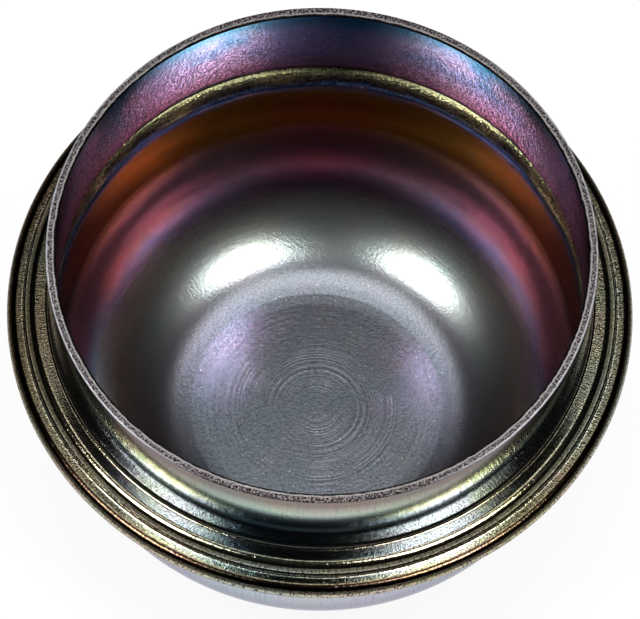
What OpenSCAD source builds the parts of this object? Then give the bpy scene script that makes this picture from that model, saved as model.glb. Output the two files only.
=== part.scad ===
// Dust cap of a wheel hub: one cup drawn from a single disc of steel sheet.
// The collar at the mouth is driven into the hub, and a flange folded out of the
// same sheet stops it there. The cup stands on its base with the mouth up, +Z.
// Sizes are in millimetres. The sheet is drawn as one half section and turned.
// The widths of the flange add up outwards from the collar, so the flange and the
// bowl keep their place on the collar when any one size changes.

/* [Sheet] */
// Thickness of the sheet, the same all the way from rim to base
sheet_t = 0.88; // [0.6:0.02:1.2]
// Height over all, from the underside of the base to the cut rim
cap_h = 34.8; // [30:0.1:60]

/* [Collar] */
// Outside diameter of the collar, the size that is driven into the hub
collar_od = 50.3; // [36:0.1:80]
// Length of the collar, from the cut rim to the upper face of the flange
collar_len = 10.1; // [5:0.1:14]
// Radius of the hollow at the foot of the collar
foot_r = 0.35; // [0.1:0.05:1]

/* [Flange] */
// Width of the flat upper face, which meets the end of the hub
face_w = 0.8; // [0.2:0.05:4]
// Inside radius of the shoulder, where the sheet turns down off that face
shoulder_r = 0.22; // [0.1:0.02:0.8]
// Inside radius of the crease below it, where the sheet turns out again
crease_r = 0.2; // [0.1:0.02:0.8]
// Width of the flat outer ring, from the crease to the rounding of the folded edge
ring_w = 0.49; // [0.1:0.01:4]
// Gap left between the two leaves of the fold
fold_gap = 0.16; // [0.04:0.02:0.6]
// Radius of the lip where the lower leaf turns down into the bowl
lip_r = 2.2; // [1.4:0.1:3.2]

/* [Bowl] */
// How far the wall of the bowl stands outside the wall of the collar
bowl_out = 0.15; // [-0.6:0.05:1]
// Outside radius of the corner between the wall and the flat base
corner_r = 13.2; // [3:0.1:16]

/* [Hidden] */
$fn = 120;

// Radii and levels of the collar and of the flange's upper face
collar_r = collar_od / 2;
foot_x = collar_r + foot_r;
face_z = cap_h - collar_len;

// The step: a round shoulder, then a small crease that turns the sheet level again
shoulder_x = foot_x + face_w;
shoulder_out = shoulder_r + sheet_t;
shoulder_z = face_z - shoulder_out;
step_x = shoulder_x + shoulder_out + crease_r;
ring_z = shoulder_z - crease_r;

// The folded edge, a full round over both leaves
fold_in = fold_gap / 2;
fold_out = fold_in + sheet_t;
fold_x = step_x + ring_w;
fold_z = ring_z - fold_out;

// The lip under the fold, and the bowl below it
bowl_r = collar_r + bowl_out;
lip_x = bowl_r - sheet_t + lip_r;
lip_z = fold_z - fold_in - lip_r;
base_r = bowl_r - corner_r;

// A straight run of the sheet between two corners
module run(x0, z0, x1, z1) {
    translate([x0, z0]) square([x1 - x0, z1 - z0]);
}

// A quarter bend of the sheet about (x, z), on the side that sx and sz point to
module bend(x, z, inner_r, sx, sz) {
    outer_r = inner_r + sheet_t;
    translate([x, z]) intersection() {
        difference() {
            circle(r = outer_r);
            circle(r = inner_r);
        }
        translate([sx < 0 ? -outer_r : 0, sz < 0 ? -outer_r : 0]) square(outer_r);
    }
}

// The press-fit collar and the tight bend at its foot
module collar_section() {
    run(collar_r - sheet_t, face_z + foot_r, collar_r, cap_h);
    bend(foot_x, face_z + foot_r, foot_r, -1, -1);
}

// The upper leaf: the face that meets the hub, then the step down to the outer ring
module upper_leaf_section() {
    run(foot_x, face_z - sheet_t, shoulder_x, face_z);
    bend(shoulder_x, shoulder_z, shoulder_r, 1, 1);
    bend(step_x, shoulder_z, crease_r, -1, -1);
    run(step_x, ring_z - sheet_t, fold_x, ring_z);
}

// The sheet doubles back on itself at the edge of the flange
module fold_section() {
    bend(fold_x, fold_z, fold_in, 1, 1);
    bend(fold_x, fold_z, fold_in, 1, -1);
}

// The lower leaf returns under the upper one and turns down over the lip
module lower_leaf_section() {
    run(lip_x, fold_z - fold_out, fold_x, fold_z - fold_in);
    bend(lip_x, lip_z, lip_r - sheet_t, -1, 1);
}

// The bowl: straight wall, wide corner and flat base
module bowl_section() {
    run(bowl_r - sheet_t, corner_r, bowl_r, lip_z);
    bend(base_r, corner_r, corner_r - sheet_t, 1, -1);
    run(0, 0, base_r, sheet_t);
}

// The whole cap is one sheet, so its section is one outline turned about the axis
module dust_cap() {
    color([0.62, 0.64, 0.60]) rotate_extrude() {
        collar_section();
        upper_leaf_section();
        fold_section();
        lower_leaf_section();
        bowl_section();
    }
}

dust_cap();
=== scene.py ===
import math
import bmesh
import bpy
from mathutils import Matrix, Vector


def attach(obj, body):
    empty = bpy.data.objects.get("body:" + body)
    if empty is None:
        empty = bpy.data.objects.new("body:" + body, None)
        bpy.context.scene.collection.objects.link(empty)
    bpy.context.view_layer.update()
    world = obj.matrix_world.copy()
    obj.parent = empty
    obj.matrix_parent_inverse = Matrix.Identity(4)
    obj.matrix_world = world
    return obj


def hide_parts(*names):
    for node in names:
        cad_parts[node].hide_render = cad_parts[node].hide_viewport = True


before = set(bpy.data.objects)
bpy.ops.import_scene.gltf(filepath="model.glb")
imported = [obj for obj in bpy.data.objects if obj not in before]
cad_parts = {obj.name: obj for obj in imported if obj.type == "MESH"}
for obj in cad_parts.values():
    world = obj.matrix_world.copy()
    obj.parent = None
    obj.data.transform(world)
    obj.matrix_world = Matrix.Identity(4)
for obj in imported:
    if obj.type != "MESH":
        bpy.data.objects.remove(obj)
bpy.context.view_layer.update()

# ---------------------------------------------------------------- camera
# A long lens half a metre off looks down into the mouth, 64 degrees above the
# table and turned a little, so that the near side of the flange shows in full.
MM = 0.001
cap_h = 34.8
stand_off = 0.5533
seen_from, looks_down, leans = map(math.radians, (63.587, 64.146, 2.063))
level = Vector((1, 0, 0))
ahead = Vector((0, math.cos(looks_down), -math.sin(looks_down)))
upward = Vector((0, math.sin(looks_down), math.cos(looks_down)))
across = math.cos(leans) * level + math.sin(leans) * upward
upright = math.cos(leans) * upward - math.sin(leans) * level
mouth_centre = Vector((0, 0, cap_h)) * MM
spot = mouth_centre + stand_off * Vector((0, -math.cos(seen_from), math.sin(seen_from)))
lens = bpy.data.cameras.new("long lens")
lens.lens, lens.sensor_width = 341.94, 36.0
lens.clip_start, lens.clip_end = 0.05, 20.0
camera = bpy.data.objects.new("camera", lens)
facing = Matrix((across, upright, -ahead)).transposed().to_4x4()
camera.matrix_world = Matrix.Translation(spot) @ facing
bpy.context.collection.objects.link(camera)
bpy.context.scene.camera = camera

# ---------------------------------------------------------------- studio
# White paper lies under the cap and sweeps up into a low surround. Two small soft
# boxes stand in front to the left and right, a dim panel hangs overhead, a large
# lamp lights the paper alone, and the room round them is dark.
def add(tree, kind, **settings):
    node = tree.nodes.new(kind)
    for name, value in settings.items():
        setattr(node, name, value)
    return node

def sum_up(tree, operation, *inputs):
    """Works out one sum; each input is a number or another node's output."""
    node = add(tree, "ShaderNodeMath", operation=operation)
    for socket, value in zip(node.inputs, inputs):
        if isinstance(value, (int, float)):
            socket.default_value = value
        else:
            tree.links.new(value, socket)
    return node.outputs[0]

def material(name):
    mat = bpy.data.materials.new(name)
    mat.use_nodes = True
    mat.node_tree.nodes.clear()
    return mat, mat.node_tree

table_r, table_drop = 1.0, 0.05 * MM
sweep_r, sweep_h = 0.25, 0.45
bm = bmesh.new()
middle = bm.verts.new((0, 0, -table_drop))
edge = bmesh.ops.extrude_vert_indiv(bm, verts=[middle])["verts"]
bmesh.ops.translate(bm, verts=edge, vec=(table_r, 0, 0))
sweep = bmesh.ops.spin(
    bm, geom=edge, cent=(table_r, 0, sweep_r), axis=(0, -1, 0),
    angle=math.radians(90), steps=12)
top = [g for g in sweep["geom_last"] if isinstance(g, bmesh.types.BMVert)]
surround = bmesh.ops.extrude_vert_indiv(bm, verts=top)["verts"]
bmesh.ops.translate(bm, verts=surround, vec=(0, 0, sweep_h - sweep_r))
bmesh.ops.spin(
    bm, geom=bm.verts[:] + bm.edges[:], cent=(0, 0, 0), axis=(0, 0, 1),
    angle=math.radians(360), steps=96, use_merge=True)
bmesh.ops.remove_doubles(bm, verts=bm.verts, dist=1e-5)
bmesh.ops.recalc_face_normals(bm, faces=bm.faces)
for face in bm.faces:
    face.smooth = True
table_mesh = bpy.data.meshes.new("table")
bm.to_mesh(table_mesh)
bm.free()
table = bpy.data.objects.new("table", table_mesh)
bpy.context.collection.objects.link(table)

# the paper glows, for the metal's reflections, as a painted pool of light that is brightest
# round the cap and fades outwards, and the camera sees the paper evenly pale
paper_share = 0.90
pool_from, pool_to, pool_full, pool_rest = 0.050, 0.104, 1.0, 0.12
paper, tree = material("white paper")
plain = add(tree, "ShaderNodeBsdfDiffuse")
plain.inputs["Color"].default_value = (0.86, 0.86, 0.86, 1)
glow = add(tree, "ShaderNodeEmission")
glow.inputs["Color"].default_value = (1, 1, 1, 1)
coords = add(tree, "ShaderNodeTexCoord")
away = add(tree, "ShaderNodeVectorMath", operation="LENGTH")
tree.links.new(coords.outputs["Object"], away.inputs[0])
pool = add(tree, "ShaderNodeMapRange", interpolation_type="SMOOTHSTEP")
tree.links.new(away.outputs["Value"], pool.inputs["Value"])
pool.inputs["From Min"].default_value = pool_from
pool.inputs["From Max"].default_value = pool_to
pool.inputs["To Min"].default_value = pool_full
pool.inputs["To Max"].default_value = pool_rest
path = add(tree, "ShaderNodeLightPath")
by_camera, by_metal = path.outputs["Is Camera Ray"], path.outputs["Is Glossy Ray"]
tree.links.new(
    sum_up(tree, "MAXIMUM", pool.outputs["Result"], by_camera), glow.inputs["Strength"])
seen = sum_up(tree, "MAXIMUM", by_camera, by_metal)
blend = add(tree, "ShaderNodeMixShader")
tree.links.new(sum_up(tree, "MULTIPLY", seen, paper_share), blend.inputs[0])
tree.links.new(plain.outputs[0], blend.inputs[1])
tree.links.new(glow.outputs[0], blend.inputs[2])
sink = add(tree, "ShaderNodeOutputMaterial")
tree.links.new(blend.outputs[0], sink.inputs["Surface"])
table_mesh.materials.append(paper)

world = bpy.data.worlds.new("dark room")
bpy.context.scene.world = world
world.use_nodes = True
backdrop = world.node_tree.nodes["Background"]
backdrop.inputs["Color"].default_value = (0.004, 0.004, 0.004, 1)
backdrop.inputs["Strength"].default_value = 1.0

def soft_box(name, towards, distance, wide, high, watts):
    """Hangs an oblong lamp in one direction from the cap, facing it."""
    lamp = bpy.data.lights.new(name, "AREA")
    lamp.shape, lamp.size, lamp.size_y, lamp.energy = "RECTANGLE", wide, high, watts
    box = bpy.data.objects.new(name, lamp)
    hung_at = Vector(towards).normalized() * distance
    turned_in = hung_at.to_track_quat("Z", "Y").to_matrix().to_4x4()
    box.matrix_world = Matrix.Translation(hung_at) @ turned_in
    bpy.context.collection.objects.link(box)
    return box

soft_box("right soft box", (0.34, -0.24, 0.91), 0.9, 0.21, 0.23, 2.8)
soft_box("left soft box", (-0.45, -0.22, 0.865), 0.9, 0.21, 0.23, 2.8)
soft_box("panel overhead", (0.0, 0.208, 0.978), 0.9, 0.42, 0.30, 0.74)
# the metal doesn't mirror the large lamp that lights the paper
soft_box("table light", (0.0, 0.0, 1.0), 1.5, 1.0, 1.0, 18).visible_glossy = False
bpy.context.scene.view_settings.view_transform = "Standard"

# ---------------------------------------------------------------- the sheet
# The whole cap is one steel sheet, 0.88 mm thick, pressed into a deep bowl, folded
# back on itself as a stop flange and drawn up as the collar. It's zinc plated.
sheet_t = 0.88
bore_r = 24.27
# each entry is one straight run with its length, or one bend with its angle, its
# inside radius and its steps, from the middle of the base outwards and up to the cut
# rim; a bend of +90 turns inwards
strokes = [
    ("run", 12.1), ("bend", 90, 12.32, 44),
    ("run", 6.96), ("bend", -90, 1.32, 16),
    ("run", 1.47), ("bend", 180, 0.08, 32),
    ("run", 0.49), ("bend", -90, 0.20, 10), ("bend", 90, 0.22, 14),
    ("run", 0.80), ("bend", -90, 0.35, 12),
]
collar_run, rim_round_out, rim_round_in = 9.75, 0.10, 0.14
support, rim_steps, round_steps, weld = 0.03, 6, 200, 0.004

def run(bm, tip, heading, length):
    """Draws a straight length of the line, with a support point near each end."""
    along = Vector((math.cos(heading), 0, math.sin(heading)))
    for part in (support, length - 2 * support, support):
        tip = bmesh.ops.extrude_vert_indiv(bm, verts=[tip])["verts"][0]
        bmesh.ops.translate(bm, verts=[tip], vec=along * part)
    return tip

def bend(bm, tip, heading, angle, radius, steps):
    """Draws a bend of the line, to its left when the angle is positive."""
    way = math.copysign(1, angle)
    centre = tip.co + way * radius * Vector((-math.sin(heading), 0, math.cos(heading)))
    done = bmesh.ops.spin(
        bm, geom=[tip], cent=centre, axis=(0, -way, 0),
        angle=math.radians(abs(angle)), steps=steps)
    ends = [v for v in done["geom_last"] if isinstance(v, bmesh.types.BMVert)]
    return ends[0], heading + math.radians(angle)

def draw_face(bm, start, side):
    """Draws one face of the sheet from base to rim; side is +1 outside and -1 inside."""
    tip, heading = bm.verts.new(start), 0.0
    for stroke in strokes:
        if stroke[0] == "run":
            tip = run(bm, tip, heading, stroke[1])
        else:
            angle, inner, steps = stroke[1:]
            radius = inner + (sheet_t if math.copysign(1, angle) == side else 0.0)
            tip, heading = bend(bm, tip, heading, angle, radius, steps)
    return run(bm, tip, heading, collar_run - (rim_round_out if side > 0 else rim_round_in))

def turned(bm, finish):
    """Turns the line about the axis and gives what it sweeps a finish."""
    bmesh.ops.spin(
        bm, geom=bm.verts[:] + bm.edges[:], cent=(0, 0, 0), axis=(0, 0, 1),
        angle=math.radians(360), steps=round_steps, use_merge=True)
    for face in bm.faces:
        face.material_index = finish
        face.smooth = True
    swept = bpy.data.meshes.new("swept")
    bm.to_mesh(swept)
    bm.free()
    return swept

bm = bmesh.new()
rim_start = draw_face(bm, (0, 0, 0), 1).co.copy()
outside = turned(bm, 0)
bm = bmesh.new()
draw_face(bm, (0, 0, sheet_t), -1)
inside = turned(bm, 1)
bm = bmesh.new()
tip, heading = bend(
    bm, bm.verts.new(rim_start), math.radians(90), 90, rim_round_out, rim_steps)
tip = run(bm, tip, heading, sheet_t - rim_round_out - rim_round_in)
bend(bm, tip, heading, 90, rim_round_in, rim_steps)
rim = turned(bm, 2)

bm = bmesh.new()
for swept in (outside, inside, rim):
    bm.from_mesh(swept)
    bpy.data.meshes.remove(swept)
bmesh.ops.remove_doubles(bm, verts=bm.verts, dist=weld)
bmesh.ops.recalc_face_normals(bm, faces=bm.faces)
bmesh.ops.scale(bm, verts=bm.verts, vec=(MM, MM, MM))
cap_mesh = bpy.data.meshes.new("zinc_plated_cap")
bm.to_mesh(cap_mesh)
bm.free()
cap = bpy.data.objects.new("zinc_plated_cap", cap_mesh)
bpy.context.collection.objects.link(cap)

def ramp(tree, factor, stops, smooth="LINEAR"):
    """Turns a factor into a colour; a stop gives a place, and a grey or a colour."""
    node = add(tree, "ShaderNodeValToRGB")
    node.color_ramp.interpolation = smooth
    while len(node.color_ramp.elements) < len(stops):
        node.color_ramp.elements.new(0.5)
    for element, (position, colour) in zip(node.color_ramp.elements, stops):
        element.position = position
        element.color = (*colour, 1) if isinstance(colour, tuple) else (colour,) * 3 + (1,)
    tree.links.new(factor, node.inputs[0])
    return node.outputs[0]

def mixed(tree, kind, factor, a, b, clamp=False):
    """Mixes two colours; factor, a and b are constants or other nodes' outputs."""
    node = add(
        tree, "ShaderNodeMix", data_type="RGBA", blend_type=kind, clamp_result=clamp)
    for label, value in (("Factor", factor), ("A", a), ("B", b)):
        if isinstance(value, bpy.types.NodeSocket):
            tree.links.new(value, node.inputs[label])
        else:
            node.inputs[label].default_value = value
    return node.outputs["Result"]

def group(name, inputs, outputs):
    """Starts a shared effect; gives its tree and the nodes at its two ends."""
    tree = bpy.data.node_groups.new(name, "ShaderNodeTree")
    for label, value in inputs:
        socket = tree.interface.new_socket(
            name=label, in_out="INPUT", socket_type="NodeSocketFloat")
        socket.default_value = value
    for label, kind in outputs:
        tree.interface.new_socket(name=label, in_out="OUTPUT", socket_type=kind)
    return tree, add(tree, "NodeGroupInput"), add(tree, "NodeGroupOutput")

# place on the cap, in millimetres: height, distance from the axis, side and point
place, _, outlet = group("place on the cap", [], [
    ("Height", "NodeSocketFloat"), ("Radius", "NodeSocketFloat"),
    ("Across", "NodeSocketFloat"), ("Point", "NodeSocketVector")])
coords = add(place, "ShaderNodeTexCoord")
scaled = add(place, "ShaderNodeVectorMath", operation="SCALE")
scaled.inputs["Scale"].default_value = 1 / MM
place.links.new(coords.outputs["Object"], scaled.inputs[0])
parts = add(place, "ShaderNodeSeparateXYZ")
place.links.new(scaled.outputs[0], parts.inputs[0])
x2 = sum_up(place, "MULTIPLY", parts.outputs["X"], parts.outputs["X"])
y2 = sum_up(place, "MULTIPLY", parts.outputs["Y"], parts.outputs["Y"])
radius = sum_up(place, "SQRT", sum_up(place, "ADD", x2, y2))
place.links.new(radius, outlet.inputs["Radius"])
place.links.new(parts.outputs["Z"], outlet.inputs["Height"])
place.links.new(parts.outputs["X"], outlet.inputs["Across"])
place.links.new(scaled.outputs[0], outlet.inputs["Point"])

def part_of(tree, at, way, whole):
    """How far along one way a place is, as a part of the whole."""
    return sum_up(tree, "DIVIDE", at.outputs[way], whole)

def beside(tree, at, whole):
    """How far a place is to either side, as a part of the whole."""
    return sum_up(tree, "DIVIDE", sum_up(tree, "ABSOLUTE", at.outputs["Across"]), whole)

# orange peel: the grain that shows where the sheet was stretched
peel, inlet, outlet = group(
    "orange peel", [("Grain", 4.0), ("Stretch", 1.0)], [("Height", "NodeSocketFloat")])
at = add(peel, "ShaderNodeGroup", node_tree=place)
squeeze = add(peel, "ShaderNodeCombineXYZ")
squeeze.inputs[0].default_value = squeeze.inputs[1].default_value = 1.0
peel.links.new(inlet.outputs["Stretch"], squeeze.inputs[2])
point = add(peel, "ShaderNodeVectorMath", operation="MULTIPLY")
peel.links.new(at.outputs["Point"], point.inputs[0])
peel.links.new(squeeze.outputs[0], point.inputs[1])
grain = add(peel, "ShaderNodeTexNoise")
grain.inputs["Detail"].default_value = 2.0
grain.inputs["Roughness"].default_value = 0.55
grain.inputs["Distortion"].default_value = 0.3
peel.links.new(point.outputs[0], grain.inputs["Vector"])
peel.links.new(inlet.outputs["Grain"], grain.inputs["Scale"])
peel.links.new(grain.outputs[0], outlet.inputs["Height"])

# draw marks: fine furrows that run up the wall and out over the flange
furrow_r = 26.0
marks, inlet, outlet = group(
    "draw marks", [("Grain", 6.0), ("Along", 0.35)], [("Height", "NodeSocketFloat")])
at = add(marks, "ShaderNodeGroup", node_tree=place)
flat = add(marks, "ShaderNodeVectorMath", operation="MULTIPLY")
flat.inputs[1].default_value = (1, 1, 0)
marks.links.new(at.outputs["Point"], flat.inputs[0])
round_way = add(marks, "ShaderNodeVectorMath", operation="NORMALIZE")
marks.links.new(flat.outputs[0], round_way.inputs[0])
on_ring = add(marks, "ShaderNodeVectorMath", operation="SCALE")
on_ring.inputs["Scale"].default_value = furrow_r
marks.links.new(round_way.outputs[0], on_ring.inputs[0])
over_sheet = sum_up(marks, "ADD", at.outputs["Height"], at.outputs["Radius"])
up_sheet = add(marks, "ShaderNodeCombineXYZ")
marks.links.new(
    sum_up(marks, "MULTIPLY", over_sheet, inlet.outputs["Along"]), up_sheet.inputs[2])
spot_on = add(marks, "ShaderNodeVectorMath", operation="ADD")
marks.links.new(on_ring.outputs[0], spot_on.inputs[0])
marks.links.new(up_sheet.outputs[0], spot_on.inputs[1])
furrow = add(marks, "ShaderNodeTexNoise")
furrow.inputs["Detail"].default_value = 2.0
furrow.inputs["Roughness"].default_value = 0.6
marks.links.new(spot_on.outputs[0], furrow.inputs["Vector"])
marks.links.new(inlet.outputs["Grain"], furrow.inputs["Scale"])
marks.links.new(furrow.outputs[0], outlet.inputs["Height"])

def cloud(tree, at, scale, detail=2.0, tall=1.0):
    """Soft patches over the cap, drawn out upwards when tall is over 1."""
    noise = add(tree, "ShaderNodeTexNoise")
    noise.inputs["Scale"].default_value = scale
    noise.inputs["Detail"].default_value = detail
    drawn_up = add(tree, "ShaderNodeVectorMath", operation="MULTIPLY")
    drawn_up.inputs[1].default_value = (1, 1, 1 / tall)
    tree.links.new(at.outputs["Point"], drawn_up.inputs[0])
    tree.links.new(drawn_up.outputs[0], noise.inputs["Vector"])
    return noise.outputs[0]

def pitted(tree, at, colour, grain, depth):
    """Darkens the colour in the pits of the grain, by depth, and adds bright specks."""
    pits = ramp(tree, cloud(tree, at, grain, 1.0, 1.9), [(0.34, 0.0), (0.56, 1.0)])
    lost = sum_up(tree, "MULTIPLY", sum_up(tree, "SUBTRACT", 1.0, pits), depth)
    dark = mixed(tree, "MULTIPLY", 1.0, colour, sum_up(tree, "SUBTRACT", 1.0, lost))
    proud = ramp(tree, cloud(tree, at, grain * 0.8, 0.0), [(0.79, 0.0), (0.86, 1.0)])
    specks = sum_up(tree, "MULTIPLY", proud, 0.5)
    return mixed(tree, "MIX", specks, dark, (0.95, 0.93, 0.90, 1))

def plating(name, colour_of, rough_of, bump_of):
    """Makes one plated finish; the three functions give what varies over the sheet."""
    mat, tree = material(name)
    zinc = add(tree, "ShaderNodeBsdfPrincipled")
    zinc.inputs["Metallic"].default_value = 1.0
    zinc.inputs["Specular Tint"].default_value = (0.55, 0.55, 0.60, 1)
    sink = add(tree, "ShaderNodeOutputMaterial")
    tree.links.new(zinc.outputs[0], sink.inputs["Surface"])
    at = add(tree, "ShaderNodeGroup", node_tree=place)
    tree.links.new(colour_of(tree, at), zinc.inputs["Base Color"])
    tree.links.new(rough_of(tree, at), zinc.inputs["Roughness"])
    bump = add(tree, "ShaderNodeBump")
    bump.inputs["Strength"].default_value = 1.0
    bump.inputs["Distance"].default_value = MM
    tree.links.new(bump_of(tree, at), bump.inputs["Height"])
    tree.links.new(bump.outputs[0], zinc.inputs["Normal"])
    return mat

# turned rings: the pad that held the disc left broken circles on the base
rings, _, outlet = group("turned rings", [], [("Height", "NodeSocketFloat")])
at = add(rings, "ShaderNodeGroup", node_tree=place)
wave = add(rings, "ShaderNodeTexNoise", noise_dimensions="1D")
wave.inputs["Scale"].default_value = 3.4
wave.inputs["Detail"].default_value = 4.0
wave.inputs["Roughness"].default_value = 0.7
rings.links.new(at.outputs["Radius"], wave.inputs["W"])
on_base = ramp(rings, part_of(rings, at, "Radius", 25.0), [(0.30, 1.0), (0.48, 0.0)])
broken = ramp(rings, cloud(rings, at, 0.26), [(0.42, 0.10), (0.50, 0.40), (0.60, 1.0)])
swing = sum_up(rings, "SUBTRACT", wave.outputs[0], 0.5)
faded = sum_up(rings, "MULTIPLY", swing, sum_up(rings, "MULTIPLY", on_base, broken))
rings.links.new(sum_up(rings, "ADD", faded, 0.4), outlet.inputs["Height"])

# inside: from the base up the corner and the wall, over the lip and up the collar
def inside_colour(tree, at):
    height = part_of(tree, at, "Height", cap_h)
    # the bands of film wander up and down, except on the base
    drift = sum_up(tree, "MULTIPLY", sum_up(tree, "SUBTRACT", cloud(tree, at, 0.16), 0.5), 2.5)
    calm = ramp(tree, height, [(0.03, 0.0), (0.12, 1.0)])
    level = sum_up(tree, "ADD", at.outputs["Height"], sum_up(tree, "MULTIPLY", drift, calm))
    # the dark stops from 0.68 to 0.712 are painted shade under the shoulder and at the foot of
    # the collar
    bands = ramp(tree, sum_up(tree, "DIVIDE", level, cap_h), [
        (0.0254, (0.205, 0.245, 0.280)), (0.0275, (0.40, 0.41, 0.46)),
        (0.035, (0.41, 0.42, 0.45)), (0.05, (0.40, 0.45, 0.43)),
        (0.10, (0.49, 0.54, 0.50)), (0.13, (0.40, 0.46, 0.46)),
        (0.16, (0.22, 0.28, 0.42)), (0.195, (0.42, 0.27, 0.36)),
        (0.235, (0.76, 0.40, 0.46)), (0.285, (0.70, 0.38, 0.40)),
        (0.33, (0.70, 0.34, 0.24)), (0.39, (0.78, 0.29, 0.04)),
        (0.55, (0.80, 0.29, 0.03)), (0.577, (0.62, 0.34, 0.44)),
        (0.588, (0.12, 0.22, 0.52)), (0.603, (0.12, 0.12, 0.14)),
        (0.612, (0.34, 0.31, 0.20)), (0.622, (0.88, 0.82, 0.44)),
        (0.66, (0.86, 0.80, 0.42)), (0.68, (0.14, 0.10, 0.10)),
        (0.712, (0.14, 0.10, 0.10)), (0.73, (0.92, 0.30, 0.42)),
        (0.80, (0.88, 0.44, 0.62)), (0.87, (0.74, 0.44, 0.63)),
        (0.93, (0.54, 0.41, 0.55)), (0.985, (0.16, 0.31, 0.40))])
    lathe = add(tree, "ShaderNodeGroup", node_tree=rings)
    lines = sum_up(tree, "ADD", sum_up(tree, "MULTIPLY", lathe.outputs[0], 1.3), 0.48)
    ringed = mixed(tree, "MULTIPLY", 1.0, bands, lines)
    strength = ramp(tree, height, [
        (0.0, 0.28), (0.20, 0.38), (0.40, 0.35), (0.56, 0.3), (0.72, 0.2)])
    film = mixed(tree, "MULTIPLY", strength, ringed, ramp(tree, cloud(tree, at, 0.15, 3.0), [
        (0.36, (0.78, 0.96, 0.98)), (0.47, (0.90, 0.96, 0.96)),
        (0.55, (1.0, 0.90, 0.96)), (0.64, (1.0, 0.93, 0.84))]))
    # painted light and shade: the collar is painted darker and bluer in the middle of its far
    # side, and brighter and redder to either side
    sideways = beside(tree, at, bore_r)
    on_collar = ramp(tree, height, [(0.70, 0.0), (0.74, 1.0)])
    collar_lit_sides = mixed(tree, "MULTIPLY", on_collar, film, ramp(tree, sideways, [
        (0.0, (0.50, 0.66, 0.95)), (0.16, (0.60, 0.72, 0.95)),
        (0.32, (1.14, 1.25, 1.25)), (0.56, (1.14, 1.25, 1.25)),
        (0.66, (1.15, 1.05, 1.1)), (0.80, (1.8, 1.25, 1.3))]), clamp=True)
    patches = ramp(tree, cloud(tree, at, 0.12, 3.0), [(0.50, 0.0), (0.60, 0.9)])
    near_rim = ramp(tree, height, [(0.78, 0.0), (0.90, 1.0)])
    teal = mixed(
        tree, "MULTIPLY", sum_up(tree, "MULTIPLY", patches, near_rim), collar_lit_sides,
        (0.34, 0.78, 0.86, 1))
    # painted light and shade: the wall is painted darker in the middle of its far side and
    # brighter to either side
    on_wall = ramp(tree, height, [(0.12, 0.0), (0.16, 1.0), (0.50, 1.0), (0.56, 0.0)])
    wall_lit_sides = mixed(tree, "MULTIPLY", on_wall, teal, ramp(tree, sideways, [
        (0.0, (0.88, 0.55, 0.68)), (0.16, (0.90, 0.62, 0.72)),
        (0.36, 1.0), (0.56, 1.0), (0.80, (1.35, 1.15, 1.2))]), clamp=True)
    depth = ramp(tree, height, [
        (0.0, 0.24), (0.14, 0.18), (0.22, 0.26), (0.30, 0.18), (0.57, 0.15),
        (0.60, 0.85), (0.66, 0.95), (0.72, 0.66), (0.86, 0.58), (0.97, 0.20)])
    return pitted(tree, at, wall_lit_sides, 5.6, depth)

def inside_rough(tree, at):
    return ramp(tree, part_of(tree, at, "Height", cap_h), [
        (0.024, 0.235), (0.06, 0.26), (0.11, 0.285), (0.20, 0.25), (0.30, 0.17),
        (0.50, 0.15), (0.56, 0.15), (0.59, 0.20), (0.61, 0.26), (0.64, 0.28),
        (0.69, 0.14), (0.74, 0.13), (0.86, 0.12), (1.0, 0.10)])

def inside_bump(tree, at):
    height = part_of(tree, at, "Height", cap_h)
    fine = add(tree, "ShaderNodeGroup", node_tree=peel)
    fine.inputs["Grain"].default_value = 3.6
    fine.inputs["Stretch"].default_value = 0.6
    amount = ramp(tree, height, [
        (0.02, 0.12), (0.05, 0.13), (0.14, 0.13), (0.25, 0.12), (0.55, 0.06),
        (0.575, 0.1), (0.60, 0.5), (0.65, 0.8), (0.70, 0.9), (0.74, 1.2),
        (0.88, 0.6), (1.0, 0.15)])
    grainy = sum_up(tree, "MULTIPLY", sum_up(tree, "MULTIPLY", fine.outputs[0], amount), 0.06)
    lathe = add(tree, "ShaderNodeGroup", node_tree=rings)
    lines = sum_up(tree, "MULTIPLY", lathe.outputs[0], 0.016)
    sandy = ramp(tree, height, [
        (0.03, 0.02), (0.045, 0.13), (0.12, 0.16), (0.22, 0.04), (0.59, 0.0),
        (0.61, 1.0), (0.67, 1.0), (0.72, 0.15), (0.90, 0.10), (1.0, 0.0)])
    sand = sum_up(tree, "MULTIPLY", cloud(tree, at, 7.0, 1.0), sandy)
    rough = sum_up(tree, "ADD", lines, sum_up(tree, "MULTIPLY", sand, 0.035))
    # a rise in the bump alone, not in the mesh, from just inside the edge of the base:
    # it brings the mirrored panel to where the real corner shows it
    risen = ramp(tree, part_of(tree, at, "Radius", 25.0), [
        (0.430, 0.0), (0.448, 0.0), (0.484, 0.031), (0.504, 0.062), (0.528, 0.086),
        (0.552, 0.098), (0.58, 0.108), (0.608, 0.125), (0.64, 0.155), (0.68, 0.198),
        (0.74, 0.25), (0.80, 0.28), (0.88, 0.28)], "B_SPLINE")
    return sum_up(tree, "ADD", risen, sum_up(tree, "ADD", grainy, rough))

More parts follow.
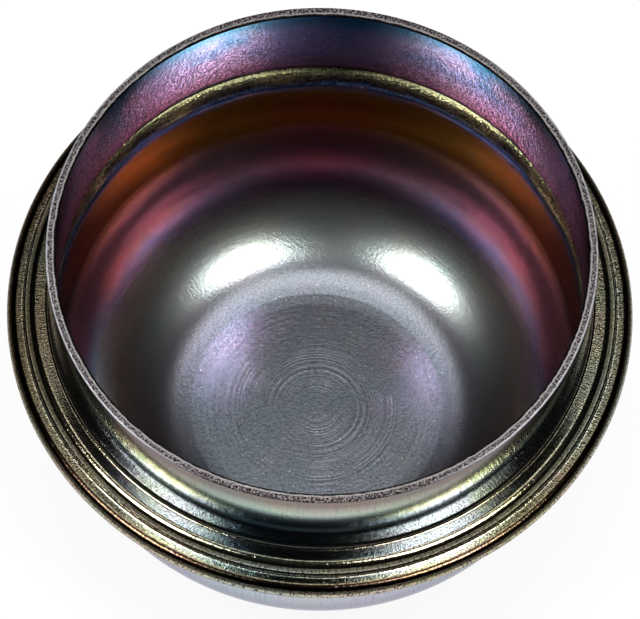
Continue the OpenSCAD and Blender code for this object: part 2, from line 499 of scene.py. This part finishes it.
# outside: the bowl, the folded flange and the collar
def outside_colour(tree, at):
    height = part_of(tree, at, "Height", cap_h)
    # the stops from 0.680 to 0.7075 paint the shoulder's bend lighter than the fold below it, a
    # painted highlight
    bands = ramp(tree, height, [
        (0.0, (0.60, 0.64, 0.72)), (0.25, (0.64, 0.66, 0.76)),
        (0.45, (0.60, 0.70, 0.76)), (0.55, (0.56, 0.65, 0.70)),
        (0.60, (0.58, 0.62, 0.62)), (0.625, (0.56, 0.58, 0.54)),
        (0.645, (0.64, 0.60, 0.45)), (0.672, (0.66, 0.63, 0.45)),
        (0.680, (0.76, 0.73, 0.51)), (0.7075, (0.76, 0.73, 0.51)),
        (0.709, (0.58, 0.55, 0.40)), (0.712, (0.58, 0.55, 0.40)),
        (0.722, (0.20, 0.26, 0.33)), (0.85, (0.20, 0.30, 0.44)),
        (0.88, (0.48, 0.64, 0.66)), (0.90, (0.58, 0.76, 0.68)),
        (0.92, (0.60, 0.72, 0.58)), (0.945, (0.48, 0.50, 0.40)),
        (0.97, (0.33, 0.29, 0.25)), (1.0, (0.30, 0.26, 0.23))])
    # painted highlight and shade on the flange: the crease is painted bright and the fold's
    # crest painted dark brown
    folded = ramp(tree, part_of(tree, at, "Radius", 30.0), [
        (0.905, 1.0), (0.912, (1.6, 1.6, 1.7)), (0.921, (1.6, 1.6, 1.7)),
        (0.925, (0.75, 0.72, 0.70)), (0.936, (0.70, 0.66, 0.62)),
        (0.942, (0.24, 0.17, 0.15)), (0.958, (0.26, 0.19, 0.17)), (0.964, 1.0)])
    above_wall = ramp(tree, height, [(0.61, 0.0), (0.625, 1.0)])
    crease_lit_fold_shaded = mixed(tree, "MULTIPLY", above_wall, bands, folded, clamp=True)
    # the left side of the flange is duller
    on_flange = ramp(tree, height, [(0.61, 0.0), (0.625, 1.0), (0.712, 1.0), (0.73, 0.0)])
    leftwards = part_of(tree, at, "Across", -29.0)
    duller_left = mixed(tree, "MULTIPLY", on_flange, crease_lit_fold_shaded, ramp(tree, leftwards, [
        (0.70, 1.0), (0.92, (0.62, 0.56, 0.50))]))
    hair = add(tree, "ShaderNodeGroup", node_tree=marks)
    hair.inputs["Grain"].default_value = 5.0
    hair.inputs["Along"].default_value = 0.03
    streaks = ramp(tree, hair.outputs[0], [(0.30, 0.76), (0.46, 0.96), (0.70, 1.0)])
    streaky = ramp(tree, height, [
        (0.10, 0.1), (0.40, 0.8), (0.58, 1.0), (0.62, 0.2), (0.71, 0.2),
        (0.73, 1.0), (0.98, 0.6)])
    streaked = mixed(tree, "MULTIPLY", streaky, duller_left, streaks)
    film = mixed(tree, "MULTIPLY", 0.7, streaked, ramp(tree, cloud(tree, at, 0.09, 3.0), [
        (0.34, (0.72, 0.86, 1.0)), (0.46, (0.92, 0.94, 0.90)),
        (0.56, (1.0, 0.86, 0.92)), (0.66, (0.98, 0.94, 0.74))]))
    depth = ramp(tree, height, [
        (0.0, 0.10), (0.60, 0.15), (0.64, 0.85), (0.71, 0.85), (0.73, 0.35),
        (0.90, 0.15), (1.0, 0.10)])
    return pitted(tree, at, film, 7.0, depth)

def outside_rough(tree, at):
    return ramp(tree, part_of(tree, at, "Height", cap_h), [
        (0.5, 0.14), (0.61, 0.11), (0.64, 0.12), (0.71, 0.12), (0.73, 0.11), (0.80, 0.10)])

def outside_bump(tree, at):
    height = part_of(tree, at, "Height", cap_h)
    fine = add(tree, "ShaderNodeGroup", node_tree=peel)
    fine.inputs["Grain"].default_value = 6.5
    amount = ramp(tree, height, [
        (0.0, 0.04), (0.58, 0.06), (0.62, 0.16), (0.70, 0.18), (0.73, 0.05), (1.0, 0.03)])
    grainy = sum_up(tree, "MULTIPLY", sum_up(tree, "MULTIPLY", fine.outputs[0], amount), 0.03)
    drawn = add(tree, "ShaderNodeGroup", node_tree=marks)
    drawn.inputs["Grain"].default_value = 9.0
    drawn.inputs["Along"].default_value = 0.22
    pull = ramp(tree, height, [
        (0.55, 0.05), (0.62, 0.9), (0.70, 1.0), (0.73, 0.25), (1.0, 0.10)])
    pulled = sum_up(tree, "MULTIPLY", sum_up(tree, "MULTIPLY", drawn.outputs[0], pull), 0.014)
    return sum_up(tree, "ADD", grainy, pulled)

# the cut rim: torn and smeared by the trimming die, then plated like the rest
def rim_colour(tree, at):
    torn = ramp(tree, cloud(tree, at, 5.0, 3.0), [
        (0.37, (0.03, 0.02, 0.03)), (0.49, (0.16, 0.125, 0.135)), (0.62, (0.62, 0.58, 0.56))])
    wander = sum_up(tree, "MULTIPLY", sum_up(tree, "SUBTRACT", cloud(tree, at, 1.2), 0.5), 0.25)
    from_bore = sum_up(tree, "SUBTRACT", at.outputs["Radius"], bore_r)
    over_edge = sum_up(tree, "ADD", sum_up(tree, "DIVIDE", from_bore, sheet_t), wander)
    smeared = ramp(tree, over_edge, [(0.20, 0.0), (0.26, 0.9), (0.36, 0.8), (0.44, 0.0)])
    shine = mixed(tree, "MIX", smeared, torn, (0.72, 0.69, 0.68, 1))
    edges = ramp(tree, over_edge, [
        (0.0, 0.03), (0.17, 0.05), (0.24, 1.0), (0.88, 0.9), (0.95, 0.3)])
    both = mixed(tree, "MULTIPLY", 1.0, shine, edges)
    # the outer edge is painted pale at the two sides, a painted reflection of the white paper
    outer = ramp(tree, over_edge, [(0.80, 0.0), (0.86, 1.0)])
    at_sides = ramp(tree, beside(tree, at, 24.7), [(0.40, 0.0), (0.75, 1.0)])
    painted_floor_gleam = sum_up(tree, "MULTIPLY", outer, at_sides)
    return mixed(tree, "MIX", painted_floor_gleam, both, (0.95, 0.95, 1.0, 1))

def rim_rough(tree, at):
    return ramp(tree, cloud(tree, at, 5.0), [(0.3, 0.25), (0.7, 0.45)])

def rim_bump(tree, at):
    fine = add(tree, "ShaderNodeGroup", node_tree=peel)
    fine.inputs["Grain"].default_value = 6.0
    return sum_up(tree, "MULTIPLY", fine.outputs[0], 0.08)

for finish in (
        plating("plated outside", outside_colour, outside_rough, outside_bump),
        plating("plated inside", inside_colour, inside_rough, inside_bump),
        plating("cut rim", rim_colour, rim_rough, rim_bump)):
    cap_mesh.materials.append(finish)

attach(cap, "root")
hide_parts("dust_cap")
